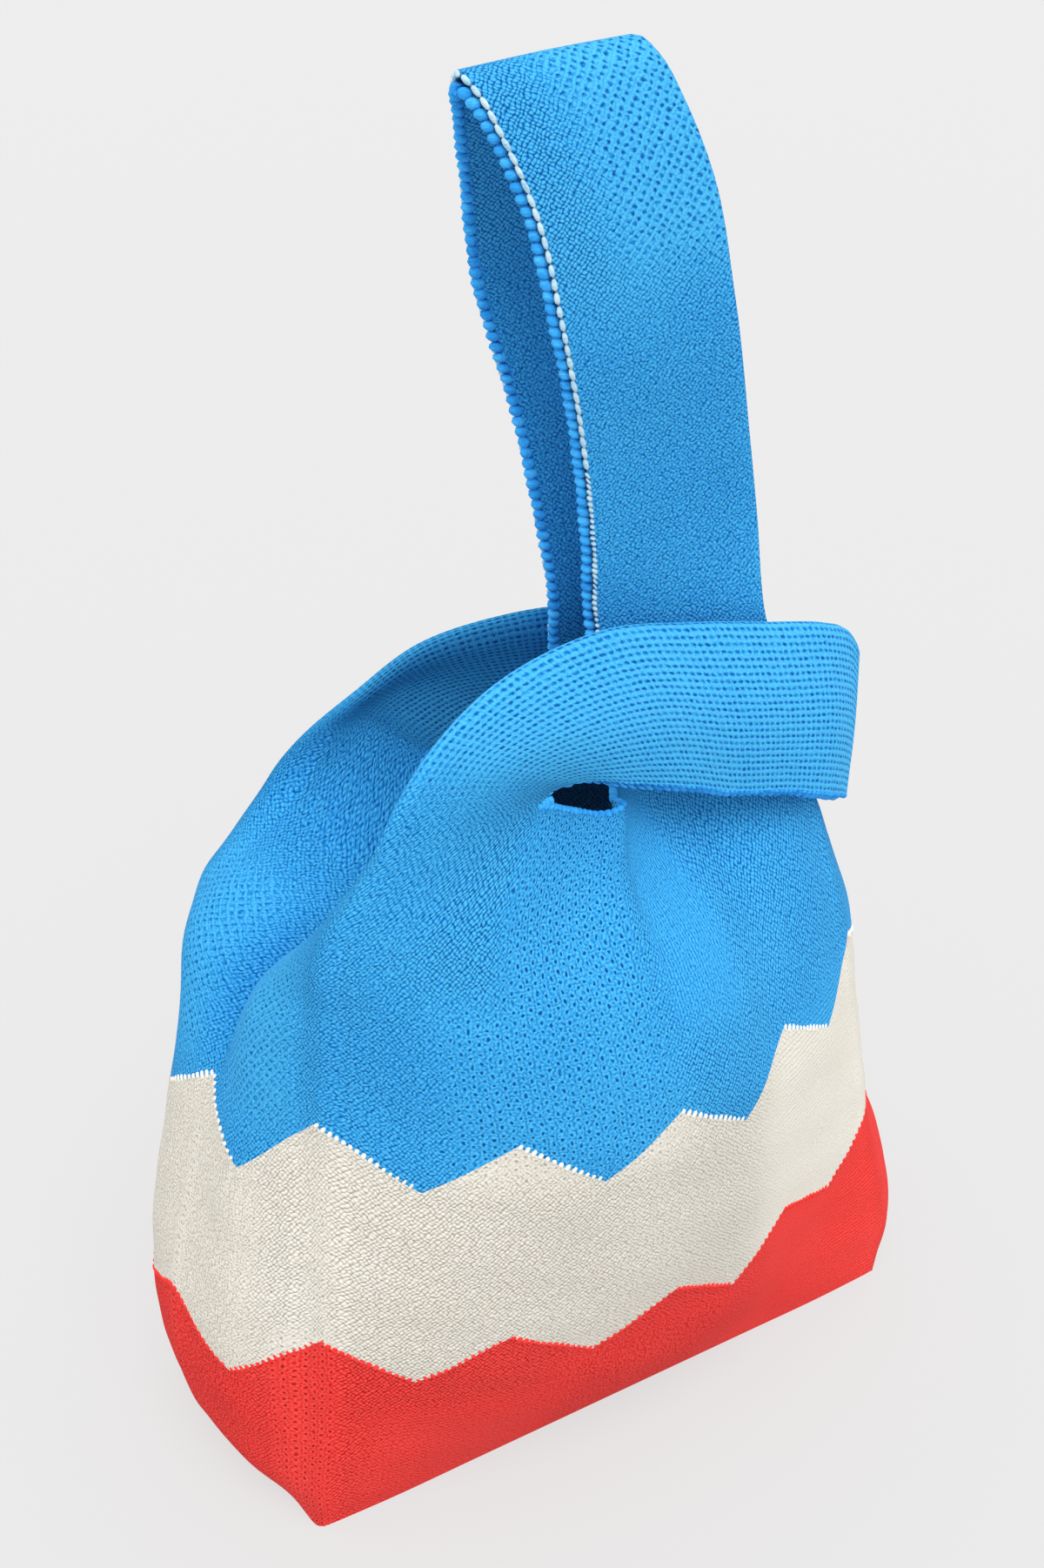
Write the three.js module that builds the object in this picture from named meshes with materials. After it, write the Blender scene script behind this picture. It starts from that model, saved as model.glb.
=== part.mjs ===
// Knotted hand bag in double-ply knit: a tube with two side gussets on a flat base, and two
// handles that grow out of its top corners. The long handle is passed through the short one.
// Millimetres. X runs along the bag, Y from its front to its back, Z up from the table.
import * as THREE from 'three';

// Knit, gaps and seams
const PLY = 2.4;
const SEAM_GAP = 0.5;
const PLY_GAP = 0.7;
const FOLDED = 2 * PLY + PLY_GAP;
const BINDING = 2.8;
const BINDING_GAP = 0.6;
const LIP_GAP = 1;

// Fabric measures: u runs round the bag, v up the knit
const COLUMN = 30;
const MESH_STEP = 15;
const STRAP = 60;
const PANEL = 240;
const GUSSET_HALF = 60;
const GUSSET_SPLIT = 205;
const NECKLINE = 265;
const LEFT_FOLD = [250, 280];
const RIGHT_FOLD = [228, 262];
const FRONT_LIP = [75, 165];
const BACK_LIP = [90, 165];

// Zigzag colour changes, with a peak every strap width
const ZIGZAG = 60;
const RED_PEAK = 86;
const RED_VALLEY = 69;
const BLUE_PEAK = 166;
const BLUE_VALLEY = 149;

// Base
const BASE_HALF_LENGTH = 117;
const BASE_HALF_DEPTH = 50.2;

// Where the moving lengths of the handles begin
const SLIDE_CUT_FRONT = -12;
const SLIDE_CUT_BACK = 2;
const SWING_HEIGHT = 325;
const SWING_RADIUS = 25;

const BLUE = 0x3c9cec;
const CREAM = 0xe8e3d6;
const RED = 0xf03c37;
const PALE_BLUE = 0x9ccdf2;

// Front half of the bag at each course v: from the left gusset's crease over the left fold, the
// front and the right fold to the right gusset's crease, one station per COLUMN of fabric
const COURSES = [
  { v: 0, at: [[-121, 0, 0], [-121, -27, 0], [-120, -53, 0], [-90, -54, 0], [-60, -54, 0],
    [-30, -54, 0], [0, -54, 0], [30, -54, 0], [60, -54, 0], [90, -54, 0], [120, -53, 0],
    [121, -27, 0], [121, 0, 0]] },
  { v: 18, at: [[-134, 0, 14], [-132, -28, 15], [-121, -54, 18], [-90, -59, 17], [-60, -62, 17],
    [-30, -64, 16], [0, -65, 16], [30, -64, 16], [60, -61, 17], [90, -58, 17], [122, -53, 18],
    [136, -32, 15], [134, 0, 15]] },
  { v: 42, at: [[-142, 0, 37], [-136, -29, 38], [-119, -54, 42], [-89, -64, 41], [-60, -71, 39],
    [-30, -76, 38], [0, -77, 37], [30, -75, 37], [58, -68, 38], [88, -60, 40], [118, -53, 41],
    [137, -29, 38], [138, 0, 38]] },
  { v: 84, at: [[-143, 0, 79], [-137, -29, 79], [-116, -53, 84], [-89, -70, 82], [-60, -80, 80],
    [-30, -86, 79], [0, -88, 78], [28, -84, 77], [55, -74, 76], [84, -62, 78], [111, -50, 81],
    [124, -26, 81], [129, 0, 80]] },
  { v: 125, at: [[-134, 0, 120], [-131, -27, 120], [-112, -49, 125], [-86, -70, 123],
    [-58, -82, 121], [-31, -90, 120], [-2, -92, 119], [25, -88, 119], [52, -78, 119],
    [79, -65, 120], [104, -49, 122], [118, -26, 122], [121, 0, 121]] },
  { v: 165, at: [[-123, 0, 162], [-124, -24, 162], [-108, -42, 166], [-84, -66, 163],
    [-57, -80, 161], [-31, -89, 160], [-4, -92, 160], [23, -88, 160], [48, -76, 161],
    [73, -63, 161], [97, -47, 162], [112, -25, 163], [113, 0, 162]] },
  { v: 205, at: [[-104, 0, 194], [-117, -24, 205], [-107, -43, 206], [-84, -61, 205],
    [-59, -73, 203], [-33, -78, 202], [-7, -79, 201], [20, -70, 202], [46, -52, 202],
    [73, -42, 201], [97, -27, 203], [103, -12, 202], [98, 0, 202]] },
  { v: 235, at: [[-81, -12, 216], [-101, -30, 227], [-105, -44, 234], [-80, -57, 235],
    [-53, -63, 233], [-31, -62, 230], [-8, -60, 228], [12, -44, 230], [38, -26, 231],
    [67, -21, 230], [91, -18, 231], [86, -8, 231], [68, -2, 230]] },
  { v: 265, at: [[-52, -26, 236], [-74, -36, 249], [-85, -43, 259], [-58, -53, 264],
    [-31, -50, 261], [-13, -45, 250.5], [1, -43, 245], [9, -32, 252], [19, -25, 262],
    [51, -23, 263], [84, -21, 260], [62, -15, 261], [36, -14, 261]] },
];

// Short handle, front leg: its folded top edge, middle and bound lower edge, out to the seam
const SHORT_COURSES = [
  { v: 295, at: [[-63, -42, 287], [-42, -51, 280], [-16, -49, 265]] },
  { v: 325, at: [[-34, -37, 302], [-15, -49, 284], [4, -49, 258]] },
  { v: 355, at: [[4, -31, 304], [15, -44, 279], [26, -48, 249]] },
  { v: 385, at: [[40, -28, 295], [45, -41, 267], [48, -45, 238]] },
  { v: 415, at: [[73, -25, 284], [74, -37, 256], [71, -42, 229]] },
  { v: 440, at: [[102, -18, 272], [99, -30, 245], [92, -37, 218]] },
  { v: 456, at: [[118, -10, 261], [116, -17, 231], [110, -22, 203]] },
  { v: 466, at: [[127, -5.8, 251], [127, -5.8, 220], [126, -5.8, 189]] },
];
const SHORT_END = SHORT_COURSES.at(-1).v;

// Long handle, front leg: its bound left edge, middle and folded right edge, up to the top
const LONG_COURSES = [
  { v: 292, at: [[13, -15.5, 292], [46, -16, 288], [78, -17, 282]] },
  { v: 320, at: [[9.5, -18, 320], [41, -18, 319], [72, -18, 318]] },
  { v: 350, at: [[4.5, -21, 350], [34.5, -21, 350], [65, -21, 349]] },
  { v: 400, at: [[-7.5, -26, 400], [22.5, -26, 400], [53, -26, 399]] },
  { v: 437, at: [[-14, -21, 435], [17, -21, 435], [47, -21, 435]] },
  { v: 460, at: [[-20, -13.5, 455], [11, -13.5, 456], [41, -13.5, 456]] },
  { v: 472, at: [[-23.5, -8, 465], [7, -8, 466], [37.5, -8, 466]] },
  { v: 482, at: [[-26, 0, 470], [4.5, 0, 471], [35, 0, 471]] },
  { v: 492, at: [[-23.5, 8, 465], [7, 8, 466], [37.5, 8, 466]] },
];
const LONG_END = LONG_COURSES.at(-2).v;

// How the back differs from the front: at the left (columns up to the neckline's left end) it
// leans in earlier and lies lower, further right it is pulled flatter under the handles
const BACK_SHIFT = [
  { v: 165, dx: 0, dz: 0, flat: 0 },
  { v: 205, dx: 4, dz: -1, flat: 0.18 },
  { v: 235, dx: 15.5, dz: -12.5, flat: 0.22 },
  { v: 265, dx: 13.5, dz: -14.5, flat: 0.16 },
  { v: 295, dx: 18, dz: -27, flat: 0 },
  { v: 325, dx: 12, dz: -27, flat: 0 },
  { v: 355, dx: 5, dz: -24, flat: 0 },
  { v: 385, dx: 1, dz: -19, flat: 0 },
  { v: 415, dx: 0, dz: -14, flat: 0 },
  { v: 440, dx: 0, dz: -8, flat: 0 },
  { v: SHORT_END, dx: 0, dz: 0, flat: 0 },
];

// Stations of the back that hang in their own way, by column and course: its open half gusset,
// the top edge of its handle near the seam, and the lower edge with the neckline beside it
const BACK_STATIONS = {
  '-2': { 235: [-74, -1, 208], 265: [-46, 9, 206] },
  '-1': { 235: [-89, 24, 218], 265: [-58, 30, 226] },
  0: {
    415: [73, 25.6, 266],
    440: [102, 18.8, 255.5],
    456: [118, 10, 252.5],
    [SHORT_END]: [127, 5.8, 249.5],
  },
  1: {
    265: [-45, 51, 239.5],
    295: [-31, 50.5, 251],
    325: [-9, 49, 256],
    440: [99, 30, 235],
    456: [116, 17, 226],
  },
  2: { 265: [-24, 51, 223.5], 295: [-9, 50.5, 229], 325: [9, 50, 236], 355: [29, 48, 231] },
  3: { 235: [-21, 51, 209], 265: [-9, 43, 215] },
  4: { 235: [-3, 48, 209], 265: [3, 40, 218] },
  5: { 235: [17, 40, 216], 265: [14, 33, 228] },
};

// Smooth curve through stations; runs on straight beyond its ends
function curve(stations, points, t) {
  const last = stations.length - 1;
  const slope = (j) => {
    if (j === 0) return points[1].clone().sub(points[0]).divideScalar(stations[1] - stations[0]);
    if (j === last) {
      const step = stations[last] - stations[last - 1];
      return points[last].clone().sub(points[last - 1]).divideScalar(step);
    }
    const before = stations[j] - stations[j - 1];
    const after = stations[j + 1] - stations[j];
    const rising = points[j].clone().sub(points[j - 1]).multiplyScalar(after / before);
    const leaving = points[j + 1].clone().sub(points[j]).multiplyScalar(before / after);
    return rising.add(leaving).divideScalar(before + after);
  };
  if (t < stations[0]) return points[0].clone().addScaledVector(slope(0), t - stations[0]);
  if (t > stations[last]) {
    return points[last].clone().addScaledVector(slope(last), t - stations[last]);
  }
  let i = 0;
  while (i < last - 1 && t > stations[i + 1]) i += 1;
  const h = stations[i + 1] - stations[i];
  const s = (t - stations[i]) / h;
  const result = points[i].clone().multiplyScalar(2 * s ** 3 - 3 * s ** 2 + 1);
  result.addScaledVector(slope(i), h * (s ** 3 - 2 * s ** 2 + s));
  result.addScaledVector(points[i + 1], 3 * s ** 2 - 2 * s ** 3);
  return result.addScaledVector(slope(i + 1), h * (s ** 3 - s ** 2));
}

// Column of the outer ply that a column of the gusset faces once it is folded behind the handle
function facingColumn(u) {
  if (u < 0) return -u;
  return u > PANEL ? 2 * PANEL - u : u;
}

// How far a half gusset is folded flat behind its handle at course v, from 0 to 1
const foldShare = (u, v) => (
  THREE.MathUtils.smoothstep(v, ...(u <= PANEL / 2 ? LEFT_FOLD : RIGHT_FOLD))
);

// Shift of the back at course v
function backShift(v) {
  const i = Math.max(1, BACK_SHIFT.findIndex((s) => s.v >= v));
  const a = BACK_SHIFT[i - 1];
  const b = BACK_SHIFT[i];
  const s = THREE.MathUtils.clamp((v - a.v) / (b.v - a.v), 0, 1);
  const mix = (key) => a[key] + s * (b[key] - a[key]);
  return { dx: mix('dx'), dz: mix('dz'), flat: mix('flat') };
}

// Share of that shift that a fabric column takes; it fades out across the neckline
function leanShare(column) {
  if (column <= 2) return 1;
  return { 3: 0.8, 4: 0.4, 5: 0.3 }[column] ?? 0;
}

// Share of the flattening that a fabric column takes; the left handle's columns keep their depth
function flatShare(column) {
  return column <= 2 ? 0 : 1;
}

// One rail per fabric column and side: front (-1) as measured, back (+1) mirrored and shifted
function makeRail(column, side) {
  const courses = COURSES.map((c) => ({ v: c.v, p: c.at[column + 2] }));
  if (column >= 0 && column <= 2) {
    SHORT_COURSES.forEach((c) => courses.push({ v: c.v, p: c.at[column] }));
  }
  if (column >= 6 && column <= 8) {
    LONG_COURSES.forEach((c) => courses.push({ v: c.v, p: c.at[column - 6] }));
  }
  const points = courses.map(({ v, p }) => {
    if (side < 0) return new THREE.Vector3(...p);
    const own = BACK_STATIONS[column]?.[v];
    if (own) return new THREE.Vector3(...own);
    const shift = backShift(Math.min(v, SHORT_END));
    const share = leanShare(column);
    const depth = -p[1] * (1 - flatShare(column) * shift.flat);
    return new THREE.Vector3(p[0] + share * shift.dx, depth, p[2] + share * shift.dz);
  });
  return { stations: courses.map((c) => c.v), points };
}

const RAILS = new Map();
for (const side of [-1, 1]) {
  for (let column = -2; column <= 10; column += 1) {
    RAILS.set(`${side}:${column}`, makeRail(column, side));
  }
}

function across(first, last, u, v, side) {
  const stations = [];
  const points = [];
  for (let column = first; column <= last; column += 1) {
    const rail = RAILS.get(`${side}:${column}`);
    stations.push(column * COLUMN);
    points.push(curve(rail.stations, rail.points, v));
  }
  return curve(stations, points, u);
}

// Outside of the front or back panel, with the outer plies of both handles
function panelPoint(u, v, side) {
  if (v <= NECKLINE) return across(0, 8, u, v, side);
  return u <= PANEL / 2 ? across(0, 2, u, v, side) : across(6, 8, u, v, side);
}

// Outside of a half gusset as long as it is open
function openGusset(u, v, side) {
  return u <= PANEL / 2 ? across(-2, 0, u, v, side) : across(8, 10, u, v, side);
}

// Outside of a half gusset. Above the neckline it is folded flat behind the handle's outer ply
function gussetPoint(u, v, side) {
  const open = openGusset(u, v, side);
  const fold = foldShare(u, v);
  if (fold === 0) return open;
  const ply = panelPoint(facingColumn(u), v, side);
  ply.addScaledVector(stacking(facingColumn(u), v, side), -FOLDED);
  return open.lerp(ply, fold);
}

// Step through the knit from a half gusset's outside to its inside
function gussetInset(u, v, side) {
  const open = outward(openGusset, u, v, side).multiplyScalar(-PLY);
  const folded = stacking(facingColumn(u), v, side).multiplyScalar(PLY);
  return open.lerp(folded, foldShare(u, v) ** 2).setLength(PLY);
}

// Outward normal of a surface; the back is traversed the other way round
function outward(surface, u, v, side) {
  const e = 0.4;
  const high = v <= NECKLINE && v + e > NECKLINE ? v : v + e;
  const du = surface(u + e, v, side).sub(surface(u - e, v, side));
  const dv = surface(u, high, side).sub(surface(u, v - e, side));
  return du.cross(dv).multiplyScalar(-side).normalize();
}

// Direction in which the plies of a handle lie on each other: the panel's own normal on the open
// bag, the normal at the middle of the strap once the gusset is folded behind it
function stacking(u, v, side) {
  const own = outward(panelPoint, u, v, side);
  if (u > STRAP && u < PANEL - STRAP) return own;
  const middle = u <= STRAP ? STRAP / 2 : PANEL - STRAP / 2;
  return own.lerp(outward(panelPoint, middle, v, side), foldShare(u, v)).normalize();
}

// Inward offset shared by panel and gusset at a fold line: mitred while the bag is open there,
// straight through each ply once the gusset lies flat behind the handle
function foldInset(surface, u, v, side) {
  const nPanel = outward(panelPoint, u + (u > 0 ? -0.5 : 0.5), v, side);
  const nGusset = outward(openGusset, u + (u > 0 ? 0.5 : -0.5), v, side);
  const mitre = nPanel.clone().add(nGusset).multiplyScalar(-PLY);
  mitre.divideScalar(Math.max(0.6, 1 + nPanel.dot(nGusset)));
  const straight = stacking(u, v, side).multiplyScalar(surface === panelPoint ? -PLY : PLY);
  return mitre.lerp(straight, foldShare(u, v) ** 2);
}

// Outer and inner point of the knit; pieces that meet at a fold stay half a seam gap off it
function plyPoint(surface, u, v, side) {
  const atFold = u === 0 || u === PANEL;
  const outer = surface(u, v, side);
  if (!atFold && surface === gussetPoint) {
    return [outer, outer.clone().add(gussetInset(u, v, side))];
  }
  if (!atFold) {
    return [outer, outer.clone().addScaledVector(stacking(u, v, side), -PLY)];
  }
  const inner = outer.clone().add(foldInset(surface, u, v, side));
  const into = (surface === panelPoint) === (u === 0) ? 1 : -1;
  const step = surface(u + into, v, side).sub(outer).setLength(SEAM_GAP / 2);
  return [outer.add(step), inner.add(step)];
}

// Courses at which a column's outer and inner points cross a limit, found by halving
function courseOf(point, limit, [low, high]) {
  return [0, 1].map((ply) => {
    let a = low;
    let b = high;
    for (let i = 0; i < 30; i += 1) {
      const mid = (a + b) / 2;
      if (limit(point(mid)[ply]) < 0) a = mid;
      else b = mid;
    }
    return (a + b) / 2;
  });
}

// Outer and inner point at a share of the way between two courses, each on its own course
function between(point, from, to, share) {
  return [0, 1].map((ply) => point(from[ply] + share * (to[ply] - from[ply]))[ply]);
}

// A sheet of knit: cells between numbered vertices, closed by walls along every free edge
class Sheet {
  constructor() {
    this.ids = new Map();
    this.outer = [];
    this.inner = [];
    this.cells = [];
  }

  vertex(key, make) {
    if (!this.ids.has(key)) {
      const [outer, inner] = make();
      this.ids.set(key, this.outer.length);
      this.outer.push(outer);
      this.inner.push(inner);
    }
    return this.ids.get(key);
  }

  cell(a, b, c, d) {
    this.cells.push([a, b, c, d]);
  }

  // Rows and columns of vertices; flip turns the cells where the outside is seen mirrored
  grid(columns, rows, make, flip, key = (i, j) => `${i}:${j}`) {
    for (let i = 0; i < columns - 1; i += 1) {
      for (let j = 0; j < rows - 1; j += 1) {
        const corner = (di, dj) => this.vertex(key(i + di, j + dj), () => make(i + di, j + dj));
        const [a, b, c, d] = [corner(0, 0), corner(1, 0), corner(1, 1), corner(0, 1)];
        if (flip) this.cell(a, d, c, b);
        else this.cell(a, b, c, d);
      }
    }
  }

  mesh(name, colour, roughness) {
    const count = this.outer.length;
    const positions = [...this.outer, ...this.inner].flatMap((p) => [p.x, p.y, p.z]);
    const triangles = [];
    // Walls that face each other across a gap are split along the same diagonal
    const rank = ({ x, y, z }) => x + 2 * y + 3 * z;
    const leads = (a, b) => rank(this.outer[a]) < rank(this.outer[b]);
    const edges = new Set();
    this.cells.forEach((ring) => {
      ring.forEach((a, i) => edges.add(`${a},${ring[(i + 1) % 4]}`));
    });
    this.cells.forEach((ring) => {
      const [a, b, c, d] = ring;
      triangles.push(a, b, c, a, c, d);
      triangles.push(a + count, c + count, b + count, a + count, d + count, c + count);
      ring.forEach((from, i) => {
        const to = ring[(i + 1) % 4];
        if (edges.has(`${to},${from}`)) return;
        if (leads(from, to)) triangles.push(to, from, from + count, to, from + count, to + count);
        else triangles.push(to, from, to + count, from, from + count, to + count);
      });
    });
    const geometry = new THREE.BufferGeometry();
    geometry.setAttribute('position', new THREE.Float32BufferAttribute(positions, 3));
    geometry.setIndex(triangles);
    geometry.computeVertexNormals();
    const material = new THREE.MeshStandardMaterial({ color: colour, roughness, metalness: 0 });
    const mesh = new THREE.Mesh(geometry, material);
    mesh.name = name;
    return mesh;
  }
}

const ROUGH_KNIT = 0.92;
const group = new THREE.Group();
group.name = 'knotted_knit_bag';
const addSheet = (sheet, name, colour) => group.add(sheet.mesh(name, colour, ROUGH_KNIT));

const wave = (u) => Math.abs(THREE.MathUtils.euclideanModulo(u, ZIGZAG) / ZIGZAG - 0.5) * 2;
const redTop = (u) => RED_VALLEY + (RED_PEAK - RED_VALLEY) * wave(u);
const blueFoot = (u) => BLUE_VALLEY + (BLUE_PEAK - BLUE_VALLEY) * wave(u);
const HALF_GAP = SEAM_GAP / 2;

// Rows of a colour band as shares of its height
const RED_ROWS = [0, 0.1, 0.21, 0.35, 0.5, 0.75, 1];
const CREAM_ROWS = [0, 0.33, 0.67, 1];
const bands = {
  red: { rows: RED_ROWS, low: () => 0, high: (u) => redTop(u) - HALF_GAP, colour: RED },
  cream: {
    rows: CREAM_ROWS,
    low: (u) => redTop(u) + HALF_GAP,
    high: (u) => blueFoot(u) - HALF_GAP,
    colour: CREAM,
  },
};

const sideName = (side) => (side < 0 ? 'front' : 'back');
const slideCut = (side) => (side < 0 ? SLIDE_CUT_FRONT : SLIDE_CUT_BACK);

// Red and cream bands of the front and the back
for (const side of [-1, 1]) {
  for (const [band, { rows, low, high, colour }] of Object.entries(bands)) {
    const sheet = new Sheet();
    sheet.grid(PANEL / MESH_STEP + 1, rows.length, (i, j) => {
      const u = i * MESH_STEP;
      return plyPoint(panelPoint, u, low(u) + rows[j] * (high(u) - low(u)), side);
    }, side > 0);
    addSheet(sheet, `${sideName(side)}_${band}`, colour);
  }
}

// Red and cream bands of the gussets, running round the crease from front fold to back fold
const HALF_COLUMNS = GUSSET_HALF / MESH_STEP;
function gussetColumn(end, i) {
  const side = i <= HALF_COLUMNS ? -1 : 1;
  const off = (HALF_COLUMNS - Math.abs(i - HALF_COLUMNS)) * MESH_STEP;
  return { side, u: end < 0 ? -off : PANEL + off };
}

// At the crease both halves share one point, pushed in along the mean of their normals
function gussetPly(u, v, side) {
  if (Math.abs(u - PANEL / 2) < PANEL / 2 + GUSSET_HALF || v > GUSSET_SPLIT) {
    return plyPoint(gussetPoint, u, v, side);
  }
  const outer = gussetPoint(u, v, -1);
  const normal = outward(gussetPoint, u, v, -1).add(outward(gussetPoint, u, v, 1)).normalize();
  return [outer, outer.clone().addScaledVector(normal, -PLY)];
}

for (const end of [-1, 1]) {
  for (const [band, { rows, low, high, colour }] of Object.entries(bands)) {
    const sheet = new Sheet();
    sheet.grid(2 * HALF_COLUMNS + 1, rows.length, (i, j) => {
      const { side, u } = gussetColumn(end, i);
      return gussetPly(u, low(u) + rows[j] * (high(u) - low(u)), side);
    }, end < 0);
    addSheet(sheet, `${end < 0 ? 'left' : 'right'}_gusset_${band}`, colour);
  }
}

// Limits that cut the handles' moving lengths off; clearance moves the far side away
const ringLimit = (clearance) => (p) => (
  Math.hypot(p.y, p.z - SWING_HEIGHT) * Math.sign(p.z - SWING_HEIGHT)
    - SWING_RADIUS - clearance
);
const slideLimit = (side, clearance) => (p) => p.x - slideCut(side) - clearance;

const SLIDE_SEARCH = [NECKLINE, 380];
const SWING_SEARCH = [300, 390];

// Blue rows: zigzag to the gusset split, split to neckline, neckline to the cut
const SHOULDER_ROWS = [0, 0.5, 1];
const NECK_ROWS = [0.25, 0.38, 0.5, 0.62, 0.75, 0.87, 1];
const STEM_ROWS = [0.2, 0.42, 0.64, 0.82, 0.94, 1];
const bodyRowCount = SHOULDER_ROWS.length + NECK_ROWS.length;
const blueRowCount = bodyRowCount + STEM_ROWS.length;

function bluePoint(surface, u, j, side) {
  const foot = blueFoot(u) + HALF_GAP;
  if (j < SHOULDER_ROWS.length) {
    const v = foot + SHOULDER_ROWS[j] * (GUSSET_SPLIT - foot);
    return surface === gussetPoint ? gussetPly(u, v, side) : plyPoint(surface, u, v, side);
  }
  if (j < bodyRowCount) {
    const share = NECK_ROWS[j - SHOULDER_ROWS.length];
    return plyPoint(surface, u, GUSSET_SPLIT + share * (NECKLINE - GUSSET_SPLIT), side);
  }
  const short = u <= PANEL / 2;
  const point = (v) => plyPoint(surface, u, v, side);
  const limit = short ? slideLimit(side, 0) : ringLimit(0);
  const cut = courseOf(point, limit, short ? SLIDE_SEARCH : SWING_SEARCH);
  return between(point, [NECKLINE, NECKLINE], cut, STEM_ROWS[j - bodyRowCount]);
}

// Blue front and back with the feet of both handles left and right of the neckline
for (const side of [-1, 1]) {
  const sheet = new Sheet();
  const make = (i, j) => bluePoint(panelPoint, i * MESH_STEP, j, side);
  const strapColumns = STRAP / MESH_STEP;
  const columns = PANEL / MESH_STEP;
  for (let i = 0; i < columns; i += 1) {
    const inStrap = i < strapColumns || i >= columns - strapColumns;
    const rows = inStrap ? blueRowCount : bodyRowCount;
    sheet.grid(2, rows, (di, j) => make(i + di, j), side > 0, (di, j) => `${i + di}:${j}`);
  }
  addSheet(sheet, `${sideName(side)}_blue`, BLUE);
}

// Blue gussets: one sheet up to the split, then a front and a back half folded into the handles
for (const end of [-1, 1]) {
  const sheet = new Sheet();
  const splitRow = SHOULDER_ROWS.length - 1;
  for (let i = 0; i < 2 * HALF_COLUMNS; i += 1) {
    const half = i < HALF_COLUMNS ? -1 : 1;
    const column = (di) => {
      const { u } = gussetColumn(end, i + di);
      return { u, side: half };
    };
    const key = (di, j) => {
      const atCrease = i + di === HALF_COLUMNS;
      return atCrease && j > splitRow ? `${half}:${i + di}:${j}` : `${i + di}:${j}`;
    };
    const make = (di, j) => bluePoint(gussetPoint, column(di).u, j, half);
    sheet.grid(2, blueRowCount, make, end < 0, key);
  }
  addSheet(sheet, `${end < 0 ? 'left' : 'right'}_gusset_blue`, BLUE);
}

// Moving lengths of the handles, outer ply and facing ply for the front and the back
const SHORT_ROWS = 16;
const LONG_ROWS = 20;
const handles = [
  {
    name: 'short_handle',
    rows: SHORT_ROWS,
    search: SLIDE_SEARCH,
    start: (side) => slideLimit(side, SEAM_GAP),
    end: () => null,
    first: 0,
    edge: STRAP,
  },
  {
    name: 'long_handle',
    rows: LONG_ROWS,
    search: SWING_SEARCH,
    start: () => ringLimit(SEAM_GAP),
    end: (side) => topLimit(side),
    first: PANEL - STRAP,
    edge: PANEL - STRAP,
  },
];

// The long handle's legs meet on the middle plane, at its top
const TOP_SEARCH = [LONG_END - 15, LONG_END + 10];
const topLimit = (side) => (p) => -side * p.y + HALF_GAP;

// Vertex j of a column between the handle's cut and its end; rows lie closer at both ends
function handlePoint(handle, point, j, side) {
  const start = courseOf(point, handle.start(side), handle.search);
  const top = handle.end(side);
  const end = top ? courseOf(point, top, TOP_SEARCH) : [SHORT_END, SHORT_END];
  return between(point, start, end, 0.5 - 0.5 * Math.cos((Math.PI * j) / (handle.rows - 1)));
}

for (const handle of handles) {
  for (const side of [-1, 1]) {
    for (const ply of ['outer', 'facing']) {
      const surface = ply === 'outer' ? panelPoint : gussetPoint;
      const toFabric = (i) => {
        const u = handle.first + i * MESH_STEP;
        if (ply === 'outer') return u;
        return handle.first === 0 ? -u : 2 * PANEL - u;
      };
      const sheet = new Sheet();
      const make = (i, j) => (
        handlePoint(handle, (v) => plyPoint(surface, toFabric(i), v, side), j, side)
      );
      const flip = (side > 0) !== (ply === 'facing');
      sheet.grid(STRAP / MESH_STEP + 1, handle.rows, make, flip);
      addSheet(sheet, `${handle.name}_${sideName(side)}_${ply}`, BLUE);
    }
  }
}

// Point of the cast-off edge, a distance beyond the strap's open edge at fabric column u
function bindingPoint(u, v, side, distance) {
  const outer = panelPoint(u, v, side);
  const direction = stacking(u, v, side);
  const along = panelPoint(u, v + 0.4, side).sub(panelPoint(u, v - 0.4, side));
  const away = along.cross(direction).multiplyScalar(u < PANEL / 2 ? -side : side).setLength(distance);
  outer.add(away);
  return [outer, outer.clone().addScaledVector(direction, -FOLDED)];
}

// Cast-off edge that binds both plies together along the handle's open side
for (const handle of handles) {
  for (const side of [-1, 1]) {
    const distances = handle.edge < PANEL / 2 ? [BINDING_GAP, BINDING] : [BINDING, BINDING_GAP];
    const sheet = new Sheet();
    const make = (i, j) => (
      handlePoint(handle, (v) => bindingPoint(handle.edge, v, side, distances[i]), j, side)
    );
    sheet.grid(2, handle.rows, make, side > 0);
    addSheet(sheet, `${handle.name}_${sideName(side)}_binding`, PALE_BLUE);
  }
}

// Linked seam that joins the short handle's two legs at its right end
const END_SEAM = [SHORT_END + 0.4, SHORT_END + 3];
const endSeam = new Sheet();
endSeam.grid(STRAP / MESH_STEP + 1, 2, (i, j) => {
  const u = i * MESH_STEP;
  return [panelPoint(u, END_SEAM[j], -1), panelPoint(u, END_SEAM[j], 1)];
}, false);
addSheet(endSeam, 'short_handle_end_seam', BLUE);

// Bound lip along the bottom of each neckline; it stays clear of the plies at both its ends
for (const side of [-1, 1]) {
  const [first, last] = side < 0 ? FRONT_LIP : BACK_LIP;
  const lip = new Sheet();
  lip.grid((last - first) / MESH_STEP + 1, 2, (i, j) => {
    const u = first + i * MESH_STEP;
    const top = panelPoint(u, NECKLINE, side);
    const along = panelPoint(u + 0.4, NECKLINE, side).sub(panelPoint(u - 0.4, NECKLINE, side));
    const normal = outward(panelPoint, u, NECKLINE, side);
    const climb = normal.clone().cross(along).multiplyScalar(-side);
    const outer = top.add(climb.setLength(j === 0 ? LIP_GAP : BINDING));
    return [outer, outer.clone().addScaledVector(normal, -PLY)];
  }, side > 0);
  addSheet(lip, `${sideName(side)}_neckline_binding`, PALE_BLUE);
}

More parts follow.
